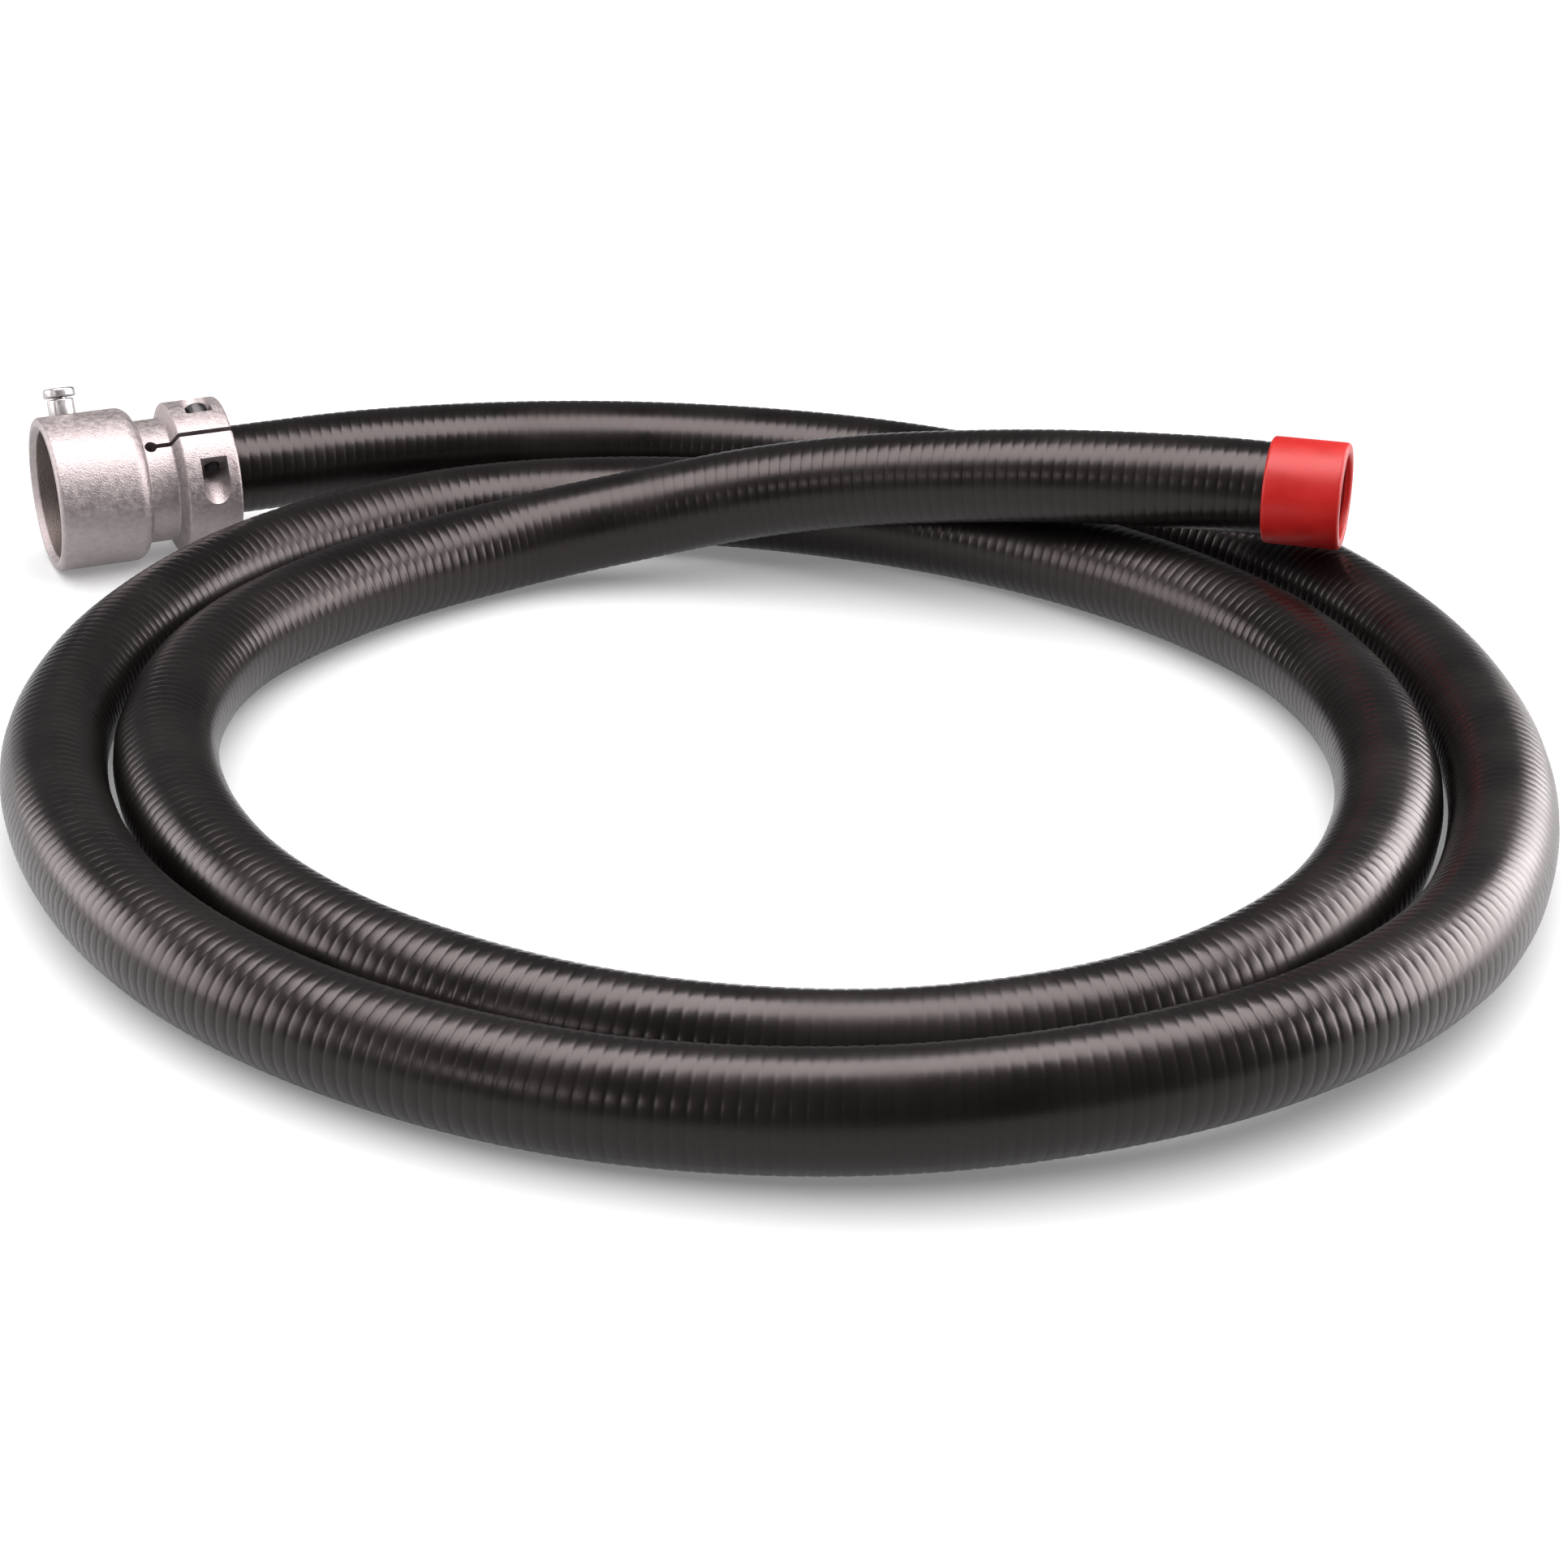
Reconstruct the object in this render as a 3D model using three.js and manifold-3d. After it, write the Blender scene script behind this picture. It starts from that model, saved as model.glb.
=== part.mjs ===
// Guide hose of a drain-cleaning machine, lying in its own coil on a level floor.
// A ribbed plastic jacket runs over a strip-wound steel lining. One end sits in a clamped
// aluminium coupling with a spring lock pin, and the other end is closed round by a soft red cap.
// Units are millimetres and +Z is up. The floor is z = 0.
import * as THREE from 'three';
import { mergeVertices } from 'three/addons/utils/BufferGeometryUtils.js';
import Module from 'manifold-3d';

const wasm = await Module();
wasm.setup();

// Gap between pieces that touch, and between the hose and the floor
const seatGap = 0.3;
const floorGap = 0.25;

// Hose
const hoseDiameter = 38;
const jacketWall = 2.4;
const liningWall = 1.2;
const hoseSides = 12;
const hoseSteps = 80;

// Coupling: a cup that slips over the machine's rear tube, a neck and a split clamp collar
const cupDiameter = 65.4;
const cupBore = 54.4;
const cupLength = 39.4;
const socketDepth = 32;
const cupLip = 2;
const mouthChamfer = 2.2;
const shoulderRadius = 6.2;
const neckWall = 6.9;
const neckLength = 12.2;
const collarWall = 13.1;
const collarLength = 25.8;
const collarChamfer = 2.8;
const edgeBreak = 1;

// Slit that lets the collar close, measured round from the horizontal on the side that faces forward
const slitAngle = 52.6;
const slitWidth = 1.4;
const reliefDiameter = 4;

// Clamp screw across the slit, in a counterbore at each end that opens outwards between parallel walls
const screwFromEnd = 10.8;
const screwWall = 0.7;
const screwDiameter = 6;
const screwChamfer = 0.6;
const screwHeadDiameter = 10;
const screwHeadHeight = 6;
const screwSocketWidth = 5;
const screwSocketDepth = 3;
const screwEndReach = 2.5;
const counterboreDiameter = 11.4;
const counterboreSeat = 11.7;

// Lock pin and its sleeve on top of the cup
const pinAngle = 112;
const pinFromMouth = 12.6;
const pinDiameter = 5.6;
const pinReach = 3.5;
const pinChamfer = 1;
const sleeveDiameter = 11.4;
const sleeveHeight = 7;
const sleeveChamfer = 0.6;
const sleeveStemDiameter = 8.6;
const spotFaceDepth = 0.8;
const knobDiameter = 13.6;
const knobHeight = 3.8;
const knobLift = 0.8;

// Red end cap. Its lip turns in over the hose's end.
const capWall = 2.2;
const capLength = 31;
const capLip = 5;
const capLipDepth = 2;
const capRound = 1.2;

// Sides of the round pieces and holes
const turnedSides = 48;
const pieceSides = 36;
const holeSides = 24;

// Where the hose lies. The coil's centre is placed so that the whole part is centred on the origin.
const coilCentre = [19.3, -10.3];
// Heights here are those of the underside above the floor.
const couplingMouth = [-307.1, 213.2, 0.6];
const couplingHeading = 23.6;
const couplingDip = 0.3;
const capMouth = [230, 134, 42.8];
const capHeading = -16.6;

// Route past the coupling: distances along the coupling's axis, then one point by hand
const straightRun = [24, 48];
const leadPoint = [-178.6, 269.4, 12.7];

// Outer turn, inner turn and the end that climbs over them.
// Each station is an angle in degrees seen from above, a radius and the height of the hose's underside.
const outerTurn = [
  [112, 309.7, 10.5], [98, 296.5, 7.7], [80, 284.4, 4.6], [60, 275.7, 1.5], [40, 269, 0], [20, 263, 0],
  [0, 262, 0], [-20, 268, 1], [-40, 281, 5], [-60, 286, 8], [-80, 278, 5], [-100, 266, 1],
  [-120, 258, 0], [-140, 255, 0], [-160, 255, 0], [-180, 260, 0], [-200, 266, 0],
];
const innerTurn = [
  [-220, 271, 0], [-240, 267, 0], [-260, 248, 0], [-280, 227, 0], [-300, 216, 0],
  [-320, 214, 0], [-340, 218, 0], [-360, 222, 0], [-380, 228, 0], [-400, 236, 0],
  [-420, 239, 0], [-440, 235, 0], [-460, 226, 0], [-480, 218, 0], [-500, 215, 0],
  [-520, 215, 0], [-540, 220, 0],
];
const climbingEnd = [
  [-560, 224, 0], [-580, 221, 0], [-600, 219, 1], [-615, 208, 10], [-628, 200, 20],
  [-641, 195, 28.5], [-655, 196.7, 35.3], [-667, 207.2, 39.8],
];
// Distances back from the cap's mouth at which the route is straight
const straightEnd = [52, 28];

// Sizes that follow from those above
const hoseFit = hoseDiameter / 2 + seatGap;
const hoseFlat = Math.cos(Math.PI / hoseSides);
const liningRadius = hoseDiameter / 2 - jacketWall - seatGap / hoseFlat;
const throatRadius = liningRadius - liningWall;
const cupRadius = cupDiameter / 2;
const neckRadius = hoseFit + neckWall;
const collarRadius = hoseFit + collarWall;
const capRadius = hoseFit + capWall;
const couplingLength = cupLength + neckLength + collarLength;
const hoseStop = cupLength + neckLength;
const screwOffset = hoseFit + screwWall + seatGap + screwDiameter / 2;
const screwAlong = couplingLength - screwFromEnd;

const aluminium = new THREE.MeshStandardMaterial({ color: 0xd9d5d4, roughness: 0.42, metalness: 0.9 });
const blackPlastic = new THREE.MeshStandardMaterial({ color: 0x1b1b1c, roughness: 0.38, metalness: 0 });
const redPlastic = new THREE.MeshStandardMaterial({ color: 0xc92d27, roughness: 0.35, metalness: 0 });
const steel = new THREE.MeshStandardMaterial({ color: 0xb9b9b6, roughness: 0.3, metalness: 1 });
const darkSteel = new THREE.MeshStandardMaterial({ color: 0x55565a, roughness: 0.4, metalness: 1 });

// Turns a closed three.js geometry into a solid that can be joined and cut
function solid(geometry) {
  const bare = geometry.index ? geometry.clone() : geometry;
  bare.deleteAttribute('normal');
  bare.deleteAttribute('uv');
  const merged = mergeVertices(bare, 1e-4);
  return new wasm.Manifold(new wasm.Mesh({
    numProp: 3,
    vertProperties: merged.attributes.position.array,
    triVerts: new Uint32Array(merged.index.array),
  }));
}

// Turns a solid back into a three.js geometry
function geometryOf(body) {
  const mesh = body.getMesh();
  const geometry = new THREE.BufferGeometry();
  geometry.setAttribute('position', new THREE.BufferAttribute(mesh.vertProperties, 3));
  geometry.setIndex(new THREE.BufferAttribute(mesh.triVerts, 1));
  return geometry;
}

// Piece turned about +Z. The profile lists [radius, z], up the outside and down the inside.
function turned(profile, sides = turnedSides) {
  const points = profile.map(([radius, z]) => new THREE.Vector2(radius, z));
  return new THREE.LatheGeometry(points, sides).rotateX(Math.PI / 2);
}

// Points of an arc in a profile, about [radius, z], from one angle to another in degrees
function arc([radius, z], size, from, to, count = 5) {
  return Array.from({ length: count + 1 }, (_, i) => {
    const angle = THREE.MathUtils.degToRad(from + (to - from) * i / count);
    return [radius + size * Math.cos(angle), z + size * Math.sin(angle)];
  });
}

// Cylinder from one point to another
function rod(from, to, radius, sides = holeSides) {
  const along = to.clone().sub(from);
  const geometry = new THREE.CylinderGeometry(radius, radius, along.length(), sides);
  const turn = new THREE.Quaternion().setFromUnitVectors(new THREE.Vector3(0, 1, 0), along.clone().normalize());
  const middle = from.clone().add(to).multiplyScalar(0.5);
  return geometry.applyQuaternion(turn).translate(middle.x, middle.y, middle.z);
}

// Direction across the coupling's axis, at an angle round from the forward horizontal towards the top
function across(degrees) {
  const angle = THREE.MathUtils.degToRad(degrees);
  return new THREE.Vector3(-Math.cos(angle), Math.sin(angle), 0);
}

// Point in the coupling's frame: so far out along a direction, and so far along the axis
function couplingPoint(direction, distance, along) {
  return direction.clone().multiplyScalar(distance).setZ(along);
}

// Heading and dip, in degrees, as a unit vector
function heading(degrees, dip = 0) {
  const turn = THREE.MathUtils.degToRad(degrees);
  const fall = THREE.MathUtils.degToRad(dip);
  return new THREE.Vector3(Math.cos(turn) * Math.cos(fall), Math.sin(turn) * Math.cos(fall), -Math.sin(fall));
}

// Group whose +Z runs along a direction, with +Y as near to up as it goes
function standing(position, along) {
  const side = new THREE.Vector3(0, 0, 1).cross(along).normalize();
  const up = along.clone().cross(side);
  const group = new THREE.Group();
  group.quaternion.setFromRotationMatrix(new THREE.Matrix4().makeBasis(side, up, along));
  group.position.copy(position);
  return group;
}

// Point on an axis, from where it is seen from above and the height of the underside
function lying([x, y, underside], radius) {
  return new THREE.Vector3(x, y, underside + radius);
}

// The hose's centre line, from its stop in the coupling to its end inside the cap
function hoseRoute() {
  const rest = hoseDiameter / 2 + floorGap;
  const mouth = lying(couplingMouth, cupRadius);
  const inward = heading(couplingHeading, couplingDip);
  const start = [seatGap, ...straightRun].map((run) => mouth.clone().addScaledVector(inward, hoseStop + run));
  const end = lying(capMouth, rest);
  const outward = heading(capHeading);
  const finish = [...straightEnd, capLip + seatGap].map((back) => end.clone().addScaledVector(outward, -back));
  const turns = [...outerTurn, ...innerTurn, ...climbingEnd].map(([degrees, radius, underside]) => {
    const angle = THREE.MathUtils.degToRad(degrees);
    return lying([radius * Math.cos(angle), radius * Math.sin(angle), underside], rest);
  });
  const route = new THREE.CatmullRomCurve3([...start, lying(leadPoint, rest), ...turns, ...finish]);
  route.arcLengthDivisions = 4000;
  return route;
}

// Regular polygon of the hose's section
function ring(path, radius) {
  for (let i = 0; i < hoseSides; i += 1) {
    const angle = 2 * Math.PI * i / hoseSides;
    const point = [radius * Math.cos(angle), radius * Math.sin(angle)];
    if (i === 0) path.moveTo(...point);
    else path.lineTo(...point);
  }
  path.closePath();
  return path;
}

// Tube along the route, open from end to end
function hoseTube(route, outerRadius, wall) {
  const section = ring(new THREE.Shape(), outerRadius);
  section.holes.push(ring(new THREE.Path(), outerRadius - wall));
  return new THREE.ExtrudeGeometry(section, { steps: hoseSteps, bevelEnabled: false, extrudePath: route });
}

// Coupling casting, bored and slit. Its mouth is at z = 0 and the hose enters at the far end.
function couplingBody() {
  const socket = cupBore / 2;
  const outside = [
    ...arc([cupRadius - cupLip, cupLip], cupLip, -90, 0),
    ...arc([cupRadius - shoulderRadius, cupLength - shoulderRadius], shoulderRadius, 0, 90),
    [neckRadius, cupLength],
    [neckRadius, hoseStop],
    [collarRadius - edgeBreak, hoseStop + collarChamfer - edgeBreak],
    [collarRadius, hoseStop + collarChamfer],
    ...arc([collarRadius - edgeBreak, couplingLength - edgeBreak], edgeBreak, 0, 90, 2),
  ];
  const inside = [
    [hoseFit + edgeBreak, couplingLength],
    [hoseFit, couplingLength - edgeBreak],
    [hoseFit, hoseStop],
    [throatRadius, hoseStop],
    [throatRadius, socketDepth],
    ...arc([socket - edgeBreak, socketDepth - edgeBreak], edgeBreak, 90, 0, 2),
    [socket, mouthChamfer],
    [socket + mouthChamfer, 0],
  ];
  let body = solid(turned([...outside, ...inside, outside[0]]));

  const slitSide = across(slitAngle);
  const reliefAlong = cupLength + reliefDiameter / 2 + edgeBreak;
  const slitLength = couplingLength - reliefAlong + edgeBreak;
  const reach = 2 * collarRadius;
  const slit = new THREE.BoxGeometry(reach, slitWidth, slitLength)
    .translate(reach / 2, 0, reliefAlong + slitLength / 2)
    .rotateZ(Math.atan2(slitSide.y, slitSide.x));
  const reliefStart = couplingPoint(slitSide, 0, reliefAlong);
  const reliefEnd = couplingPoint(slitSide, reach, reliefAlong);
  body = body.subtract(solid(slit)).subtract(solid(rod(reliefStart, reliefEnd, reliefDiameter / 2)));

  const { centre, towardsHead } = screwLine();
  const point = (distance) => centre.clone().addScaledVector(towardsHead, distance);
  const screwHole = rod(point(-reach), point(reach), screwDiameter / 2 + seatGap);
  const headBore = rod(point(counterboreSeat), point(reach), counterboreDiameter / 2);
  const endBore = rod(point(-counterboreSeat), point(-reach), counterboreDiameter / 2);
  body = body.subtract(solid(screwHole)).subtract(solid(headBore)).subtract(solid(endBore));
  for (const seat of [counterboreSeat, -counterboreSeat]) {
    const opening = new THREE.BoxGeometry(reach, reach, counterboreDiameter)
      .translate(screwOffset + reach / 2, seat + Math.sign(seat) * reach / 2, screwAlong)
      .rotateZ(Math.atan2(slitSide.y, slitSide.x));
    body = body.subtract(solid(opening));
  }

  const pinSide = across(pinAngle);
  const pinHole = rod(
    couplingPoint(pinSide, 0, pinFromMouth),
    couplingPoint(pinSide, cupDiameter, pinFromMouth),
    sleeveStemDiameter / 2 + seatGap,
  );
  const spotFace = rod(
    couplingPoint(pinSide, cupRadius - spotFaceDepth, pinFromMouth),
    couplingPoint(pinSide, cupDiameter, pinFromMouth),
    sleeveDiameter / 2 + 2 * seatGap,
  );
  return body.subtract(solid(pinHole)).subtract(solid(spotFace));
}

// Middle of the clamp screw's line, where it crosses the slit, and the way to its head
function screwLine() {
  const slitSide = across(slitAngle);
  return {
    centre: couplingPoint(slitSide, screwOffset, screwAlong),
    towardsHead: new THREE.Vector3(slitSide.y, -slitSide.x, 0),
  };
}

// Socket-head clamp screw. The underside of its head is at z = 0 and its end points down.
function clampScrew() {
  const shank = 2 * counterboreSeat + seatGap + screwEndReach;
  const radius = screwDiameter / 2;
  const headRadius = screwHeadDiameter / 2;
  const body = solid(turned([
    [0, -shank],
    [radius - screwChamfer, -shank],
    [radius, -shank + screwChamfer],
    [radius, 0],
    [headRadius, 0],
    [headRadius, screwHeadHeight - screwChamfer],
    [headRadius - screwChamfer, screwHeadHeight],
    [0, screwHeadHeight],
  ], pieceSides));
  const acrossCorners = screwSocketWidth / Math.cos(Math.PI / 6);
  const bottom = new THREE.Vector3(0, 0, screwHeadHeight - screwSocketDepth);
  const top = new THREE.Vector3(0, 0, screwHeadHeight + screwSocketDepth);
  return body.subtract(solid(rod(bottom, top, acrossCorners / 2, 6)));
}

// Sleeve of the lock pin. Its flange sits on the cup's spot face at z = 0.
function pinSleeve() {
  const bore = pinDiameter / 2 + seatGap;
  const stemRadius = sleeveStemDiameter / 2;
  const stem = cupRadius - spotFaceDepth - cupBore / 2 - seatGap;
  const outer = sleeveDiameter / 2;
  const profile = [
    [stemRadius, -stem],
    [stemRadius, 0],
    [outer, 0],
    [outer, sleeveHeight - sleeveChamfer],
    [outer - sleeveChamfer, sleeveHeight],
    [bore, sleeveHeight],
    [bore, -stem],
  ];
  return turned([...profile, profile[0]], pieceSides);
}

// Lock pin with its pull knob, in the sleeve's frame
function lockPin() {
  const radius = pinDiameter / 2;
  const knobRadius = knobDiameter / 2;
  const underKnob = sleeveHeight + knobLift;
  const knobTop = underKnob + knobHeight;
  const tip = cupRadius - spotFaceDepth + seatGap - cupBore / 2 + pinReach;
  return turned([
    [0, -tip],
    [radius - pinChamfer, -tip],
    [radius, -tip + pinChamfer],
    [radius, underKnob],
    [knobRadius, underKnob],
    [knobRadius, knobTop - pinChamfer],
    [knobRadius - pinChamfer, knobTop],
    [0, knobTop],
  ], pieceSides);
}

// Soft end cap: a sleeve over the hose with a lip turned in over its end. Its mouth is at z = 0.
function endCap() {
  const mouth = hoseDiameter / 2 - capLipDepth;
  const profile = [
    ...arc([capRadius - capRound, capRound - capLength], capRound, -90, 0, 3),
    ...arc([capRadius - capRound, -capRound], capRound, 0, 90, 3),
    [mouth, 0],
    [mouth, -capLip],
    [hoseFit, -capLip],
    [hoseFit, -capLength],
  ];
  return turned([...profile, profile[0]]);
}

function mesh(name, geometry, material) {
  const piece = new THREE.Mesh(geometry, material);
  piece.name = name;
  return piece;
}

const guideHose = new THREE.Group();
guideHose.position.set(coilCentre[0], coilCentre[1], 0);

const route = hoseRoute();
guideHose.add(mesh('hose_jacket', hoseTube(route, hoseDiameter / 2, jacketWall), blackPlastic));
guideHose.add(mesh('hose_lining', hoseTube(route, liningRadius, liningWall), steel));

const coupling = standing(lying(couplingMouth, cupRadius), heading(couplingHeading, couplingDip));
coupling.add(mesh('coupling_body', geometryOf(couplingBody()), aluminium));
guideHose.add(coupling);

const screw = mesh('clamp_screw', geometryOf(clampScrew()), darkSteel);
const { centre, towardsHead } = screwLine();
screw.position.copy(centre).addScaledVector(towardsHead, counterboreSeat + seatGap);
screw.quaternion.setFromUnitVectors(new THREE.Vector3(0, 0, 1), towardsHead);
coupling.add(screw);

const pinSide = across(pinAngle);
const pinGroup = new THREE.Group();
pinGroup.position.copy(couplingPoint(pinSide, cupRadius - spotFaceDepth + seatGap, pinFromMouth));
pinGroup.quaternion.setFromUnitVectors(new THREE.Vector3(0, 0, 1), pinSide);
pinGroup.add(mesh('pin_sleeve', pinSleeve(), steel));
pinGroup.add(mesh('lock_pin', lockPin(), steel));
coupling.add(pinGroup);

const cap = standing(lying(capMouth, hoseDiameter / 2 + floorGap), heading(capHeading));
cap.add(mesh('end_cap', endCap(), redPlastic));
guideHose.add(cap);

export default guideHose;
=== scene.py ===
"""Guide hose of a drain-cleaning machine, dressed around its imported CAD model. Units are metres."""
import math

import bmesh
import bpy
import numpy as np
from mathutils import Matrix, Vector


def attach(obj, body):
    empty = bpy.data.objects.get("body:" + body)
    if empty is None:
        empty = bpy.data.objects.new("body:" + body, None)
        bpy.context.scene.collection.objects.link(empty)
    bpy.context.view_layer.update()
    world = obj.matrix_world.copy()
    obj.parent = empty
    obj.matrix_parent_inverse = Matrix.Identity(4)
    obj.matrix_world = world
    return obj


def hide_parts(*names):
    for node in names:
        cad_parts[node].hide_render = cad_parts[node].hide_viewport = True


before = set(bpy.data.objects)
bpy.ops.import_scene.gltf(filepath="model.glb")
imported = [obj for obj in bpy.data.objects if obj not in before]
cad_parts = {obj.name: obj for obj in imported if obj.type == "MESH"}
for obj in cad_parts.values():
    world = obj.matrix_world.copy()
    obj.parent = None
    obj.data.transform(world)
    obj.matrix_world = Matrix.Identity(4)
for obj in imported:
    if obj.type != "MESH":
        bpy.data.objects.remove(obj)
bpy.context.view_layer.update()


# Camera: a long lens from the front, looking down at the coil at the photograph's angle.
camera_pitch = 25.39
camera_place = (0.0253, -1.1154, 0.5234)
camera_data = bpy.data.cameras.new("camera")
camera_data.lens = 75.88
camera_data.sensor_width = 36
camera = bpy.data.objects.new("camera", camera_data)
camera.location = camera_place
camera.rotation_euler = (math.radians(90 - camera_pitch), 0, 0)
bpy.context.scene.collection.objects.link(camera)
bpy.context.scene.camera = camera


# Hose route: the line that the hose lies along, from its stop in the coupling to its capped end.
# It leaves the coupling, runs two turns on the floor and then climbs over both of them at the back.
hose_diameter = 0.038
hose_rest = hose_diameter / 2 + 0.00025
coil_centre = np.array([0.0193, -0.0103, 0.0])
coupling_mouth = coil_centre + [-0.3071, 0.2132, 0.0006 + 0.0327]
hose_stop = 0.0516
cap_mouth = coil_centre + [0.230, 0.134, 0.0428 + hose_rest]
straight_run = [0.0003, 0.024, 0.048]
lead_point = coil_centre + [-0.1786, 0.2694, 0.0127 + hose_rest]
straight_end = [0.052, 0.028, 0.0053]
# Each station is an angle in degrees seen from above, a radius and the height of the underside.
stations = np.array([
    [112, 0.3097, 0.0105], [98, 0.2965, 0.0077], [80, 0.2844, 0.0046], [60, 0.2757, 0.0015], [40, 0.269, 0],
    [20, 0.263, 0], [0, 0.262, 0], [-20, 0.268, 0.001], [-40, 0.281, 0.005], [-60, 0.286, 0.008],
    [-80, 0.278, 0.005], [-100, 0.266, 0.001], [-120, 0.258, 0], [-140, 0.255, 0],
    [-160, 0.255, 0], [-180, 0.260, 0], [-200, 0.266, 0],
    [-220, 0.271, 0], [-240, 0.267, 0], [-260, 0.248, 0], [-280, 0.227, 0], [-300, 0.216, 0],
    [-320, 0.214, 0], [-340, 0.218, 0], [-360, 0.222, 0], [-380, 0.228, 0], [-400, 0.236, 0],
    [-420, 0.239, 0], [-440, 0.235, 0], [-460, 0.226, 0], [-480, 0.218, 0], [-500, 0.215, 0],
    [-520, 0.215, 0], [-540, 0.220, 0],
    [-560, 0.224, 0], [-580, 0.221, 0], [-600, 0.219, 0.001], [-615, 0.208, 0.010],
    [-628, 0.200, 0.020], [-641, 0.195, 0.0285], [-655, 0.1967, 0.0353], [-667, 0.2072, 0.0398],
])


def heading(degrees, dip=0.0):
    """Unit vector along a heading seen from above, pointing down by the dip."""
    turn, fall = math.radians(degrees), math.radians(dip)
    return np.array([math.cos(turn) * math.cos(fall), math.sin(turn) * math.cos(fall), -math.sin(fall)])


coupling_axis = heading(23.6, 0.3)
cap_axis = heading(-16.6)


def smooth_line(points, steps=160):
    """Curve through the points. In each span it is the cubic whose end tangents weigh the
    neighbouring spans by the square roots of their lengths."""
    around = np.vstack([2 * points[0] - points[1], points, 2 * points[-1] - points[-2]])
    p0, p1, p2, p3 = around[:-3], around[1:-2], around[2:-1], around[3:]
    root = np.sqrt(np.linalg.norm(np.diff(around, axis=0), axis=1))[:, None]
    d0, d1, d2 = root[:-2], root[1:-1], root[2:]
    leave = ((p1 - p0) / d0 - (p2 - p0) / (d0 + d1) + (p2 - p1) / d1) * d1
    arrive = ((p2 - p1) / d1 - (p3 - p1) / (d1 + d2) + (p3 - p2) / d2) * d1
    t = np.arange(steps)[None, :, None] / steps
    p1, p2, leave, arrive = (a[:, None, :] for a in (p1, p2, leave, arrive))
    line = (2 * t**3 - 3 * t**2 + 1) * p1 + (t**3 - 2 * t**2 + t) * leave
    line = line + (3 * t**2 - 2 * t**3) * p2 + (t**3 - t**2) * arrive
    return np.vstack([line.reshape(-1, 3), points[-1:]])


turn_angle = np.radians(stations[:, 0])
turns = coil_centre + np.stack([
    stations[:, 1] * np.cos(turn_angle),
    stations[:, 1] * np.sin(turn_angle),
    stations[:, 2] + hose_rest,
], axis=1)
hose_line = smooth_line(np.vstack([
    coupling_mouth + np.outer(hose_stop + np.array(straight_run), coupling_axis),
    lead_point,
    turns,
    cap_mouth - np.outer(straight_end, cap_axis),
]))
line_run = np.concatenate([[0], np.cumsum(np.linalg.norm(np.diff(hose_line, axis=0), axis=1))])
hose_length = float(line_run[-1])


def on_line(run):
    """Points of the hose's line at each run along it."""
    return np.stack([np.interp(run, line_run, hose_line[:, k]) for k in range(3)], axis=-1)


def along_hose(run, angle, radius):
    """Points of a tube round the hose's line: at each run along the line, radius away from it, at
    an angle that starts on the right-hand side of the way along and turns up from there."""
    step = 0.002
    ahead = on_line(np.minimum(run + step, hose_length))
    behind = on_line(np.maximum(run - step, 0))
    tangent = (ahead - behind) / np.linalg.norm(ahead - behind, axis=-1, keepdims=True)
    right = np.cross(tangent, [0, 0, 1.0])
    right /= np.linalg.norm(right, axis=-1, keepdims=True)
    up = np.cross(right, tangent)
    out = right * np.cos(angle)[..., None] + up * np.sin(angle)[..., None]
    return on_line(run) + out * radius[..., None]


def grid_quads(rows, columns, wrap=0):
    """Quads of a grid of rows by columns whose last column joins the first one, wrap rows on."""
    row, column = np.meshgrid(np.arange(rows - 1), np.arange(columns - 1), indexing="ij")
    a = (row * columns + column).ravel()
    body = np.stack([a, a + 1, a + columns + 1, a + columns], axis=1)
    row = np.arange(rows - 1 - wrap)
    b, c = row * columns + columns - 1, (row + wrap) * columns
    return np.vstack([body, np.stack([b, c, c + columns, b + columns], axis=1)])


def new_piece(name, points, quads, material, slot, sharp=35, attributes=()):
    """Mesh object from points and quads. Doubles are merged, faces with no area go, and the rest
    are turned outwards. Edges that bend more than sharp degrees are shown sharp."""
    mesh = bpy.data.meshes.new(name)
    mesh.from_pydata(points.reshape(-1, 3).tolist(), [], quads.tolist())
    for label, values in attributes:
        layer = mesh.attributes.new(label, "FLOAT", "POINT")
        layer.data.foreach_set("value", np.asarray(values, np.float32).ravel())
    tidy = bmesh.new()
    tidy.from_mesh(mesh)
    bmesh.ops.remove_doubles(tidy, verts=tidy.verts, dist=2e-6)
    bmesh.ops.dissolve_degenerate(tidy, edges=tidy.edges, dist=1e-7)
    bmesh.ops.recalc_face_normals(tidy, faces=tidy.faces)
    tidy.to_mesh(mesh)
    tidy.free()
    mesh.polygons.foreach_set("use_smooth", np.ones(len(mesh.polygons), bool))
    mesh.set_sharp_from_angle(angle=math.radians(sharp))
    mesh.materials.append(material)
    piece = bpy.data.objects.new(name, mesh)
    bpy.context.scene.collection.objects.link(piece)
    return piece


def add(tree, kind, inputs=None, **settings):
    """Shader node of a kind. An input is given by name or number, as a value or a socket to link."""
    node = tree.nodes.new(kind)
    for setting, value in settings.items():
        setattr(node, setting, value)
    for key, value in (inputs or {}).items():
        if isinstance(value, bpy.types.NodeSocket):
            tree.links.new(value, node.inputs[key])
        else:
            node.inputs[key].default_value = value
    return node


def span(tree, value, low, high, start=0.0, end=1.0):
    """Value from 0 to 1 spread over low to high."""
    return add(tree, "ShaderNodeMapRange", {0: value, 1: start, 2: end, 3: low, 4: high}).outputs[0]


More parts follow.
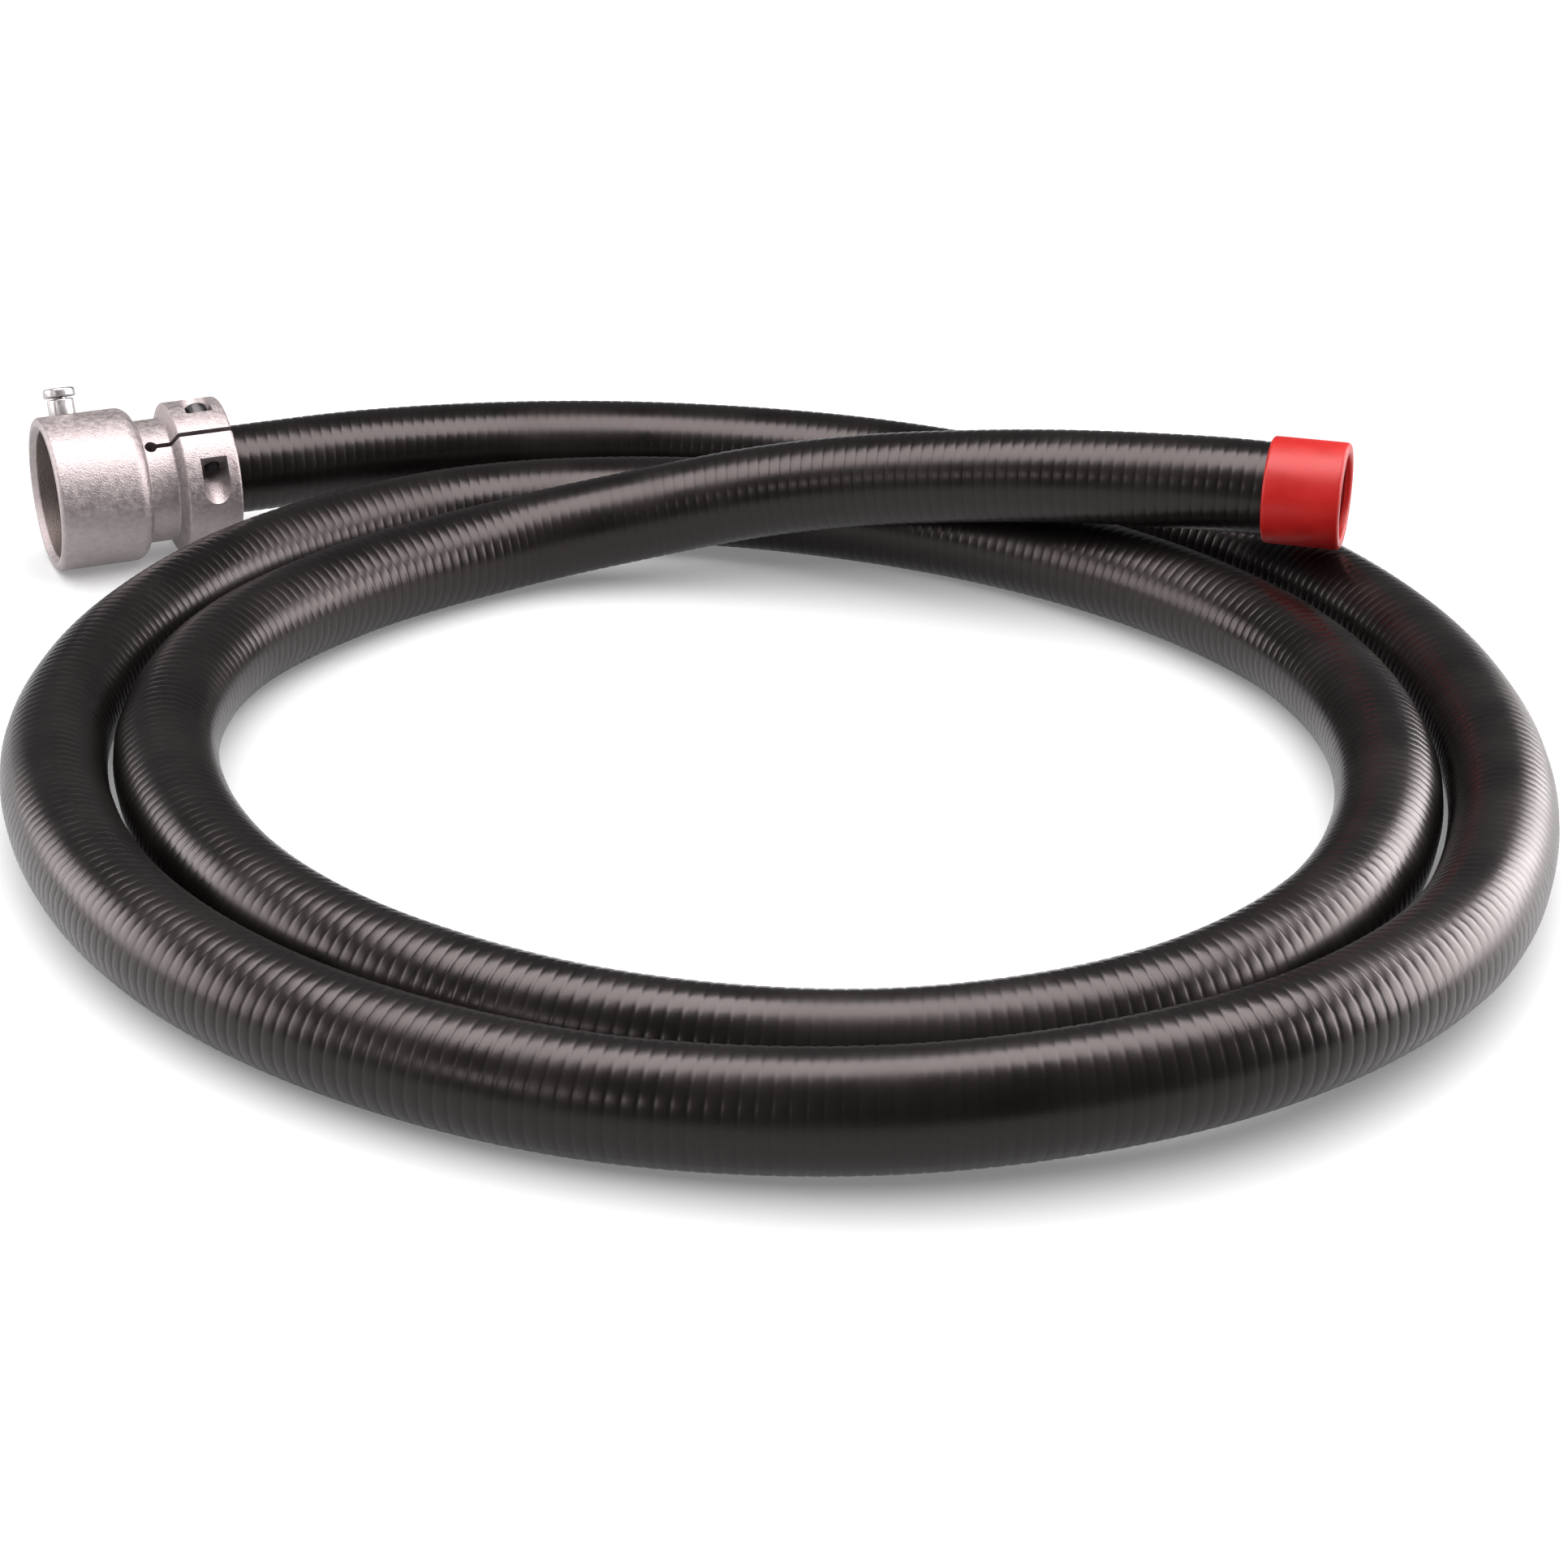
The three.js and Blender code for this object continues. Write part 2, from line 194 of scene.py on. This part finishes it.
def blend_colours(tree, factor, first, second):
    """First colour where the factor is 0 and second where it is 1."""
    node = add(tree, "ShaderNodeMix", {0: factor}, data_type="RGBA")
    for socket, colour in ((node.inputs[6], first), (node.inputs[7], second)):
        if isinstance(colour, bpy.types.NodeSocket):
            tree.links.new(colour, socket)
        else:
            socket.default_value = (*colour, 1)
    return node.outputs[2]


def new_finish(name, **sockets):
    """Material with one Principled shader. Returns it, its node tree and its shader."""
    material = bpy.data.materials.new(name)
    material.use_nodes = True
    shader = material.node_tree.nodes["Principled BSDF"]
    for socket, value in sockets.items():
        shader.inputs[socket.replace("_", " ")].default_value = value
    return material, material.node_tree, shader


# Wear of a handled surface, shared by all the finishes: broad patches where it is rubbed or dull,
# and a fine grain for the bump.
handled = bpy.data.node_groups.new("handled surface", "ShaderNodeTree")
for label, start in (("Patch scale", 30.0), ("Grain scale", 2500.0)):
    handled.interface.new_socket(label, in_out="INPUT", socket_type="NodeSocketFloat").default_value = start
for label in ("Patches", "Grain"):
    handled.interface.new_socket(label, in_out="OUTPUT", socket_type="NodeSocketFloat")
group_in, group_out = handled.nodes.new("NodeGroupInput"), handled.nodes.new("NodeGroupOutput")
place = add(handled, "ShaderNodeTexCoord").outputs["Object"]
broad = add(handled, "ShaderNodeTexNoise",
            {"Vector": place, "Scale": group_in.outputs[0], "Detail": 4.0, "Roughness": 0.6})
fine = add(handled, "ShaderNodeTexNoise", {"Vector": place, "Scale": group_in.outputs[1], "Detail": 2.0})
handled.links.new(span(handled, broad.outputs[0], 0, 1, 0.35, 0.65), group_out.inputs[0])
handled.links.new(fine.outputs[0], group_out.inputs[1])


def wear(tree, patch_scale, grain_scale):
    """Patches and grain of a handled surface, as sockets."""
    node = add(tree, "ShaderNodeGroup", {}, node_tree=handled)
    node.inputs[0].default_value = patch_scale
    node.inputs[1].default_value = grain_scale
    return node.outputs[0], node.outputs[1]


def rough_skin(tree, shader, height, distance, strength=1.0):
    """Bump of a height from 0 to 1 that is distance metres high."""
    bump = add(tree, "ShaderNodeBump", {"Height": height, "Distance": distance, "Strength": strength})
    tree.links.new(bump.outputs[0], shader.inputs["Normal"])


# Hose jacket: black PVC drawn tightly over the steel lining, so that the wound strip shows through
# as a close spiral of low rounded ribs with a narrow groove between them.
rib_pitch = 0.0047
rib_phase = np.array([0.0, 0.13, 0.26, 0.74, 0.87])
rib_depth = np.array([0.00020, 0.00006, 0.00000, 0.00000, 0.00006])
jacket_sides = 24
jacket_wall = 0.0024
seat_gap = 0.0003
lining_radius = hose_diameter / 2 - jacket_wall - seat_gap / math.cos(math.pi / 12)
end_face = 0.0002
inner_rings = 300


def jacket_shell():
    """Outer grid whose rows follow the spiral, five to a rib, and an inner grid of plain rings.
    Radius is the hose's less the rib's depth at that row. The run is held to the hose's ends."""
    per_rib = len(rib_phase)
    ribs = math.ceil(hose_length / rib_pitch) + 2
    run = ((np.arange(ribs)[:, None] - 1 + rib_phase[None]) * rib_pitch).reshape(-1, 1)
    turn = np.arange(jacket_sides)[None] / jacket_sides
    run = run + turn * rib_pitch
    inside = (run > end_face) & (run < hose_length - end_face)
    depth = np.where(inside, np.tile(rib_depth, ribs)[:, None], 0.0)
    outer_run = np.where(inside, run, np.where(run > hose_length / 2, hose_length, 0))
    angle = np.broadcast_to(turn * 2 * math.pi, run.shape)
    outer = along_hose(outer_run, angle, hose_diameter / 2 - depth)
    ring_run = np.linspace(0, hose_length, inner_rings)[:, None]
    inner_run = np.broadcast_to(ring_run, (inner_rings, jacket_sides))
    inner_angle = np.broadcast_to(turn * 2 * math.pi, inner_run.shape)
    inner = along_hose(inner_run, inner_angle, np.full(inner_run.shape, hose_diameter / 2 - jacket_wall))
    first = np.arange(jacket_sides)
    last_outer = (len(run) - 1) * jacket_sides + first
    inner_start = run.size
    last_inner = inner_start + (inner_rings - 1) * jacket_sides + first
    ends = [np.stack([a, np.roll(a, -1), np.roll(b, -1), b], axis=1) for a, b in (
        (first, inner_start + first), (last_inner, last_outer))]
    quads = np.vstack([
        grid_quads(len(run), jacket_sides, per_rib),
        grid_quads(inner_rings, jacket_sides) + inner_start,
        *ends,
    ])
    points = np.vstack([outer.reshape(-1, 3), inner.reshape(-1, 3)])
    # Groove is the rib's depth as a fraction, 1 at the bottom of a groove. The material paints shade darker
    # there.
    groove = np.concatenate([(depth / rib_depth.max()).ravel(), np.zeros(inner_run.size)])
    return points, quads, groove


black_pvc, tree, shader = new_finish("black_pvc", Specular_IOR_Level=0.29, Specular_Tint=(1.0, 0.90, 0.90, 1))
patches, grain = wear(tree, 22.0, 1800.0)
# Painted shade: the base colour goes darker towards the bottom of each groove.
groove_shade_mask = add(tree, "ShaderNodeAttribute", attribute_name="groove").outputs["Fac"]
skin_colour = blend_colours(tree, patches, (0.0046, 0.0034, 0.0033), (0.0072, 0.0056, 0.0054))
tree.links.new(blend_colours(tree, span(tree, groove_shade_mask, 0.0, 0.45), skin_colour, (0.0030, 0.0024, 0.0023)),
               shader.inputs["Base Color"])
tree.links.new(span(tree, patches, 0.25, 0.35), shader.inputs["Roughness"])
rough_skin(tree, shader, grain, 0.00002)

points, quads, groove = jacket_shell()
jacket = new_piece("ribbed_jacket", points, quads, black_pvc, "black_pvc", sharp=60,
                   attributes=[("groove", groove)])
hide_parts("hose_jacket")
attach(jacket, "hose")


# Hose lining: steel strip wound into an interlocked tube. Its turns show inside both ends, so they
# are fine there and the tube is plain between them.
lining_wall = 0.0012
lining_sides = 48
strip_pitch = 0.0047
fold_height, fold_width = 0.0007, 0.16
shown_reach, fade_reach = 0.060, 0.004


def lining_shell():
    """Closed grid of rings, out along the bore and back along the outside. The bore's radius dips
    by a rounded step once each turn of the strip, and the step runs round in a spiral."""
    fine = np.arange(0, shown_reach, strip_pitch / 8)
    plain = np.arange(shown_reach + 0.002, hose_length - shown_reach - 0.001, 0.010)
    bore_run = np.concatenate([fine, plain, (hose_length - fine)[::-1]])
    skin_run = np.linspace(hose_length, 0, 330)
    run = np.concatenate([bore_run, skin_run])[:, None]
    turn = np.arange(lining_sides)[None] / lining_sides
    near_end = np.clip((shown_reach - np.minimum(run, hose_length - run)) / fade_reach, 0, 1)
    phase = (run / strip_pitch - turn) % 1.0
    ridge = np.exp(-((phase - 0.5) / fold_width) ** 2) * near_end
    bore = np.arange(len(run))[:, None] < len(bore_run)
    bore_radius = lining_radius - lining_wall + fold_height * (1 - ridge)
    radius = np.where(bore, bore_radius, lining_radius + 0 * turn)
    angle = np.broadcast_to(turn * 2 * math.pi, radius.shape)
    points = along_hose(np.broadcast_to(run, radius.shape), angle, radius)
    rows, columns = radius.shape
    closing = np.arange(columns)
    last = (rows - 1) * columns + closing
    quads = np.vstack([
        grid_quads(rows, columns),
        np.stack([last, np.roll(last, -1), np.roll(closing, -1), closing], axis=1),
    ])
    return points, quads


lining_steel, tree, shader = new_finish("lining_steel", Metallic=1.0, Roughness=0.3)
patches, grain = wear(tree, 90.0, 3000.0)
steel_colour = blend_colours(tree, patches, (0.56, 0.54, 0.50), (0.74, 0.72, 0.68))
tree.links.new(steel_colour, shader.inputs["Base Color"])
tree.links.new(span(tree, patches, 0.22, 0.42), shader.inputs["Roughness"])
rough_skin(tree, shader, grain, 0.00002)
lining = new_piece("strip_lining", *lining_shell(), lining_steel, "lining_steel", sharp=50)
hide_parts("hose_lining")
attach(lining, "hose")


# Coupling: one aluminium casting. A cup slips over the machine's rear tube, a neck follows, and a
# collar is slit so that a screw across the slit clamps it on the hose. Faces are lightly turned.
hose_fit = hose_diameter / 2 + seat_gap
cup_radius, cup_bore, cup_length = 0.0327, 0.0272, 0.0394
socket_depth, neck_length, collar_length = 0.032, 0.0122, 0.0258
neck_radius, collar_radius = hose_fit + 0.0069, hose_fit + 0.0131
throat_radius = lining_radius - lining_wall
collar_start = cup_length + neck_length
coupling_length = collar_start + collar_length
slit_angle, slit_width, relief_diameter = 52.6, 0.0021, 0.0052
screw_along = coupling_length - 0.0108
screw_radius, screw_hole_radius, screw_wall = 0.003, 0.0033, 0.0007
screw_offset = hose_fit + screw_wall + seat_gap + screw_radius
pocket_seat, pocket_radius = 0.0117, 0.0057
pin_angle, pin_from_mouth = 112, 0.0126
pin_hole_radius, spot_face_radius, spot_face_depth = 0.0046, 0.0063, 0.0008
cut_reach = 0.06

coupling_side = np.cross([0, 0, 1.0], coupling_axis)
coupling_side /= np.linalg.norm(coupling_side)
coupling_frame = np.stack([coupling_side, np.cross(coupling_axis, coupling_side), coupling_axis])


def across(degrees):
    """Direction across the coupling's axis, from the forward horizontal towards the top."""
    return np.array([-math.cos(math.radians(degrees)), math.sin(math.radians(degrees)), 0.0])


def rounded(corners, steps=6, closed=True):
    """Profile through corners of [radius, z, rounding]. Each corner becomes an arc that touches its
    two sides, worked out by turning evenly from the one side's normal to the other's."""
    corners = np.array(corners, float)
    point = corners[:, :2]
    to_last, to_next = np.roll(point, 1, axis=0) - point, np.roll(point, -1, axis=0) - point
    u = to_last / np.linalg.norm(to_last, axis=1, keepdims=True)
    v = to_next / np.linalg.norm(to_next, axis=1, keepdims=True)
    half = np.arccos(np.clip((u * v).sum(1), -1, 1)) / 2
    size = np.where(np.abs(half - math.pi / 2) < 1e-6, 0, corners[:, 2])[:, None]
    if not closed:
        size[[0, -1]] = 0
    middle = (u + v) / np.maximum(np.linalg.norm(u + v, axis=1, keepdims=True), 1e-9)
    centre = point + middle * size / np.sin(half)[:, None]
    reach = size / np.tan(half)[:, None]
    a, b = point + u * reach - centre, point + v * reach - centre
    swing = np.maximum(math.pi - 2 * half, 1e-4)[:, None, None]
    t = np.linspace(0, 1, steps + 1)[None, :, None]
    arc = (np.sin((1 - t) * swing) * a[:, None] + np.sin(t * swing) * b[:, None]) / np.sin(swing)
    line = (centre[:, None] + arc).reshape(-1, 2)
    keep = np.linalg.norm(np.diff(line, axis=0, prepend=line[-1:] + 1), axis=1) > 1e-7
    return line[keep]


def turned(profile, sides, closed=True, outline=None):
    """Grid of a profile of [radius, z] carried round +Z. Outline scales the radius at each angle,
    one row for each point of the profile."""
    angle = np.arange(sides)[None] * 2 * math.pi / sides
    radius = profile[:, :1] * (1 if outline is None else outline(angle, profile))
    points = np.stack([radius * np.cos(angle), radius * np.sin(angle),
                       np.broadcast_to(profile[:, 1:], (len(profile), sides))], axis=-1)
    quads = grid_quads(len(profile), sides)
    if closed:
        first = np.arange(sides)
        last = (len(profile) - 1) * sides + first
        quads = np.vstack([quads, np.stack([last, np.roll(last, -1), np.roll(first, -1), first], axis=1)])
    return points.reshape(-1, 3), quads


def aimed(points, origin, direction):
    """Points turned so that their +Z runs along a direction, and moved to an origin."""
    direction = np.asarray(direction) / np.linalg.norm(direction)
    helper = [0, 0, 1.0] if abs(direction[2]) < 0.9 else [0, 1.0, 0]
    side = np.cross(helper, direction)
    side /= np.linalg.norm(side)
    return points @ np.stack([side, np.cross(direction, side), direction]) + origin


def on_coupling(points):
    """Points from the coupling's own frame to the row's frame."""
    return points @ coupling_frame + coupling_mouth


def cutter(points, quads):
    """Throwaway solid that a cut is made with."""
    return new_piece("cutter", points, quads, aluminium, "cast_aluminium")


def bar(start, end, radius, sides=64):
    """Round bar from one point to another, as points and quads."""
    length = np.linalg.norm(end - start)
    profile = np.array([[0, 0], [radius, 0], [radius, length], [0, length]])
    points, quads = turned(profile, sides, closed=False)
    return aimed(points, start, end - start), quads


def pocket(side):
    """Counterbore that opens outwards between parallel walls: a straight-sided slot with a round
    bottom, carried from its seat out along the screw's line."""
    turn = np.radians(np.linspace(90, 270, 34))
    section = np.stack([np.cos(turn), np.sin(turn)], axis=1) * pocket_radius
    section = np.vstack([section, [[0.03, -pocket_radius], [0.03, pocket_radius]]])
    rows = np.array([pocket_seat, cut_reach])[:, None, None] * side * screw_way
    ring = section[:, :1] * slit_side + section[:, 1:] * [0, 0, 1]
    a, b = np.arange(36), np.roll(np.arange(36), -1)
    i = np.arange(16)
    cap = np.vstack([np.stack([i, i + 1, 32 - i, 33 - i], axis=1), [[35, 0, 33, 34]]])
    side_quads = np.stack([a, b, b + 36, a + 36], axis=1)
    return screw_centre + rows + ring[None], np.vstack([side_quads, cap, cap + 36])


def cut(piece, cutters):
    """Takes the cutters out of the piece and removes them."""
    for tool in cutters:
        taken = piece.modifiers.new("cut", "BOOLEAN")
        taken.operation, taken.solver, taken.object = "DIFFERENCE", "EXACT", tool
    bpy.context.view_layer.update()
    whole = bpy.data.meshes.new_from_object(piece.evaluated_get(bpy.context.evaluated_depsgraph_get()))
    piece.modifiers.clear()
    piece.data = whole
    for tool in cutters:
        bpy.data.objects.remove(tool)


aluminium, tree, shader = new_finish("cast_aluminium", Metallic=0.7, Roughness=0.5)
patches, grain = wear(tree, 420.0, 1500.0)
# Painted shade: the bore mask makes the base colour darker inside the cup's socket and the hose's throat.
bore_shade_mask = add(tree, "ShaderNodeAttribute", attribute_name="bore").outputs["Fac"]
face_colour = blend_colours(tree, patches, (0.26, 0.224, 0.230), (0.33, 0.300, 0.296))
tree.links.new(blend_colours(tree, bore_shade_mask, face_colour, (0.19, 0.160, 0.148)), shader.inputs["Base Color"])
tree.links.new(span(tree, patches, 0.42, 0.58), shader.inputs["Roughness"])
rough_skin(tree, shader, grain, 0.00030, 0.8)

body_profile = rounded([
    [cup_bore, 0.0024, 0.0014],
    [cup_bore + 0.0020, 0, 0.0006],
    [cup_radius, 0, 0.0020],
    [cup_radius, cup_length, 0.0060],
    [neck_radius, cup_length, 0.0012],
    [neck_radius, collar_start, 0.0012],
    [collar_radius, collar_start + 0.0028, 0.0010],
    [collar_radius, coupling_length, 0.0014],
    [hose_fit, coupling_length, 0.0008],
    [hose_fit, collar_start, 0],
    [throat_radius, collar_start, 0.0004],
    [throat_radius, socket_depth, 0.0008],
    [cup_bore, socket_depth, 0.001],
], steps=8)
points, quads = turned(body_profile, 160)
coupling = new_piece("coupling_casting", points, quads, aluminium, "cast_aluminium")
slit_side = across(slit_angle)
screw_way = np.array([slit_side[1], -slit_side[0], 0.0])
relief_along = cup_length + relief_diameter / 2 + 0.001
slit_far = coupling_length + 0.001
corner = np.array([[x, y, z] for x in (0, 1) for y in (-1, 1) for z in (0, 1)], float)
slit_points = (corner[:, :1] * 2 * collar_radius * slit_side + corner[:, 1:2] * slit_width / 2 * screw_way
               + (relief_along + corner[:, 2:] * (slit_far - relief_along)) * [0, 0, 1])
slit_quads = np.array([[0, 1, 3, 2], [4, 6, 7, 5], [0, 4, 5, 1], [2, 3, 7, 6], [0, 2, 6, 4], [1, 5, 7, 3]])
screw_centre = slit_side * screw_offset + [0, 0, screw_along]
screw_reach = screw_way * cut_reach
pin_side = across(pin_angle)
on_axis = np.array([[0, 0, relief_along], [0, 0, pin_from_mouth]])
spot_face = pin_side * (cup_radius - spot_face_depth) + on_axis[1]
cut(coupling, [
    cutter(slit_points, slit_quads),
    cutter(*bar(on_axis[0], slit_side * cut_reach + on_axis[0], relief_diameter / 2, 32)),
    cutter(*bar(screw_centre - screw_reach, screw_centre + screw_reach, screw_hole_radius, 32)),
    *[cutter(*pocket(side)) for side in (1, -1)],
    cutter(*bar(on_axis[1], pin_side * cut_reach + on_axis[1], pin_hole_radius, 32)),
    cutter(*bar(spot_face, pin_side * cut_reach + on_axis[1], spot_face_radius, 48)),
])
vertices = np.zeros(len(coupling.data.vertices) * 3)
coupling.data.vertices.foreach_get("co", vertices)
vertices = vertices.reshape(-1, 3)
reach = np.hypot(vertices[:, 0], vertices[:, 1])
# Points inside the socket and the throat carry the bore mask, which paints shade into the colour there.
shaded_socket = (reach < cup_bore + 0.0004) & (vertices[:, 2] > 0.0024) & (vertices[:, 2] < socket_depth + 0.0002)
inside = shaded_socket | (reach < hose_fit - 0.0002)
coupling.data.attributes.new("bore", "FLOAT", "POINT").data.foreach_set("value", inside.astype(np.float32))
coupling.data.vertices.foreach_set("co", on_coupling(vertices).ravel())
coupling.data.polygons.foreach_set("use_smooth", np.ones(len(coupling.data.polygons), bool))
coupling.data.set_sharp_from_angle(angle=math.radians(35))
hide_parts("coupling_body")
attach(coupling, "hose")


# Clamp screw: blackened socket-head screw across the slit, sunk in the collar.
black_steel, tree, shader = new_finish("black_steel", Metallic=0.9, Roughness=0.4)
patches, grain = wear(tree, 400.0, 5000.0)
black_colour = blend_colours(tree, patches, (0.030, 0.030, 0.032), (0.055, 0.054, 0.052))
tree.links.new(black_colour, shader.inputs["Base Color"])
tree.links.new(span(tree, patches, 0.30, 0.48), shader.inputs["Roughness"])
rough_skin(tree, shader, grain, 0.00002)

head_radius, head_height = 0.005, 0.006
end_reach = 0.0025
shank_length = 2 * pocket_seat + seat_gap + end_reach
thread_pitch = 0.001
thread_rows = np.arange(0, shank_length - 0.0032, thread_pitch / 4)
thread = np.stack([screw_radius - 0.00027 * (1 - np.cos(thread_rows / thread_pitch * 2 * math.pi)),
                   -shank_length + 0.0008 + thread_rows], axis=1)
head = rounded([
    [screw_radius, -0.0022, 0],
    [screw_radius, 0, 0.0002],
    [head_radius, 0, 0.0003],
    [head_radius, head_height, 0.0006],
    [0.0029, head_height, 0.0002],
    [0.0026, head_height - 0.003, 0],
    [0, head_height - 0.0036, 0],
], steps=4, closed=False)
screw_profile = np.vstack([[[0, -shank_length], [screw_radius - 0.0008, -shank_length]], thread, head])


def screw_outline(angle, profile):
    """Knurl on the head's side and six flats in its socket, as a scale of the radius."""
    side = (profile[:, :1] > head_radius - 0.0001) & (profile[:, 1:] < head_height - 0.0007)
    knurl = 1 - 0.018 * side * (0.5 + 0.5 * np.cos(angle * 36))
    flats = math.cos(math.pi / 6) / np.cos((angle % (math.pi / 3)) - math.pi / 6)
    socket = (np.arange(len(profile))[:, None] > len(profile) - 8) & (profile[:, :1] < 0.00295)
    return np.where(socket, flats, knurl)


points, quads = turned(screw_profile, 144, closed=False, outline=screw_outline)
points = aimed(points, screw_centre + screw_way * (pocket_seat + seat_gap), screw_way)
screw = new_piece("socket_head_screw", on_coupling(points), quads, black_steel, "black_steel", sharp=30)
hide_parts("clamp_screw")
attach(screw, "hose")


# Lock pin and its sleeve: bright plated steel on top of the cup. The pin's knob is pulled outwards
# against a spring to free the machine's tube.
bright_steel, tree, shader = new_finish("bright_steel", Metallic=0.85)
patches, grain = wear(tree, 300.0, 4000.0)
plated_colour = blend_colours(tree, patches, (0.34, 0.33, 0.33), (0.42, 0.41, 0.41))
tree.links.new(plated_colour, shader.inputs["Base Color"])
tree.links.new(span(tree, patches, 0.28, 0.42), shader.inputs["Roughness"])
rough_skin(tree, shader, grain, 0.00001)

pin_seat = pin_side * (cup_radius - spot_face_depth + seat_gap) + [0, 0, pin_from_mouth]
stem = cup_radius - spot_face_depth - cup_bore - seat_gap
sleeve_height, sleeve_radius, pin_radius = 0.007, 0.0057, 0.0028
sleeve_profile = rounded([
    [0.0043, -stem, 0.0002],
    [0.0043, 0, 0.0001],
    [sleeve_radius, 0, 0.0003],
    [sleeve_radius, sleeve_height, 0.0008],
    [pin_radius + seat_gap, sleeve_height, 0.0004],
    [pin_radius + seat_gap, -stem, 0.0003],
], steps=6)
points, quads = turned(sleeve_profile, 96)
sleeve = new_piece("pin_sleeve_turned", on_coupling(aimed(points, pin_seat, pin_side)), quads,
                   bright_steel, "bright_steel", sharp=50)
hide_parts("pin_sleeve")
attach(sleeve, "hose")

knob_radius, knob_low, knob_high = 0.0068, sleeve_height + 0.0008, sleeve_height + 0.0046
pin_tip = cup_radius - spot_face_depth + seat_gap - cup_bore + 0.0035
pin_profile = rounded([
    [0, -pin_tip, 0],
    [pin_radius, -pin_tip, 0.0012],
    [pin_radius, knob_low, 0.0003],
    [knob_radius, knob_low, 0.0006],
    [knob_radius, knob_high, 0.0012],
    [0, knob_high, 0],
], steps=6, closed=False)
points, quads = turned(pin_profile, 96, closed=False)
pin = new_piece("pull_pin", on_coupling(aimed(points, pin_seat, pin_side)), quads,
                bright_steel, "bright_steel", sharp=50)
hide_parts("lock_pin")
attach(pin, "lock_pin")


# End cap: soft red vinyl, dipped, pushed over the hose's end. Its lip turns in over the cut end.
red_vinyl, tree, shader = new_finish("red_vinyl", Specular_IOR_Level=0.20)
patches, grain = wear(tree, 60.0, 900.0)
vinyl_colour = blend_colours(tree, patches, (0.53, 0.012, 0.010), (0.61, 0.017, 0.014))
tree.links.new(vinyl_colour, shader.inputs["Base Color"])
tree.links.new(span(tree, patches, 0.32, 0.46), shader.inputs["Roughness"])
rough_skin(tree, shader, grain, 0.00006, 0.5)
cap_radius, cap_length, cap_lip = hose_fit + 0.0022, 0.031, 0.003
cap_profile = rounded([
    [cap_radius, -cap_length, 0.0014],
    [cap_radius, 0, 0.0018],
    [hose_diameter / 2 - 0.002, 0, 0.0014],
    [hose_diameter / 2 - 0.002, -cap_lip, 0.0006],
    [hose_fit, -cap_lip, 0.0002],
    [hose_fit, -cap_length, 0.0006],
], steps=8)
points, quads = turned(cap_profile, 128)
cap = new_piece("dipped_cap", aimed(points, cap_mouth, cap_axis), quads, red_vinyl, "red_vinyl", sharp=50)
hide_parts("end_cap")
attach(cap, "hose")


# Studio: a plain pale floor under one broad soft light. A panel overhead, one low at the front left
# and one on each side show only as reflections.
floor_mesh = bpy.data.meshes.new("floor")
floor_mesh.from_pydata([(-8, -8, 0), (8, -8, 0), (8, 8, 0), (-8, 8, 0)], [], [(0, 1, 2, 3)])
floor = bpy.data.objects.new("floor", floor_mesh)
bpy.context.scene.collection.objects.link(floor)
floor_finish, tree, shader = new_finish("floor_paper", Roughness=0.6)
shader.inputs["Base Color"].default_value = (0.80, 0.80, 0.80, 1)
shader.inputs["Emission Color"].default_value = (1, 1, 1, 1)
shader.inputs["Emission Strength"].default_value = 0.20
floor_mesh.materials.append(floor_finish)


def panel(name, place, aim, size, power, floor_light, tint=(1.0, 0.93, 0.93)):
    """Area light. One that lights the floor isn't seen in reflections, and the others are only that."""
    data = bpy.data.lights.new(name, "AREA")
    data.shape, data.size, data.size_y, data.energy = "RECTANGLE", size[0], size[1], power
    data.color = (1, 1, 1) if floor_light else tint
    light = bpy.data.objects.new(name, data)
    light.location = place
    light.rotation_euler = (Vector(aim) - Vector(place)).to_track_quat("-Z", "Y").to_euler()
    light.visible_camera = False
    light.visible_glossy = not floor_light
    light.visible_diffuse = floor_light
    bpy.context.scene.collection.objects.link(light)


panel("key", (-0.1, 0.3, 2.3), (-0.1, 0.3, 0), (6.0, 6.0), 212, True)
panel("overhead", (0.05, 0.08, 0.80), (0.05, 0.08, 0), (1.3, 0.60), 26, False)
panel("front_left", (-0.78, -0.95, 0.55), (0.2, 0.12, 0.07), (0.40, 0.16), 1.8, False)
panel("side_right", (1.15, 0.30, 0.40), (0, 0, 0.05), (1.3, 0.7), 34, False)
panel("side_left", (-1.25, 0.1, 0.40), (0, 0, 0.05), (1.2, 0.6), 16, False)
world = bpy.data.worlds.new("studio")
world.use_nodes = True
world.node_tree.nodes["Background"].inputs[0].default_value = (0.95, 0.97, 1.0, 1)
world.node_tree.nodes["Background"].inputs[1].default_value = 0.14
bpy.context.scene.world = world
bpy.context.scene.view_settings.view_transform = "Standard"
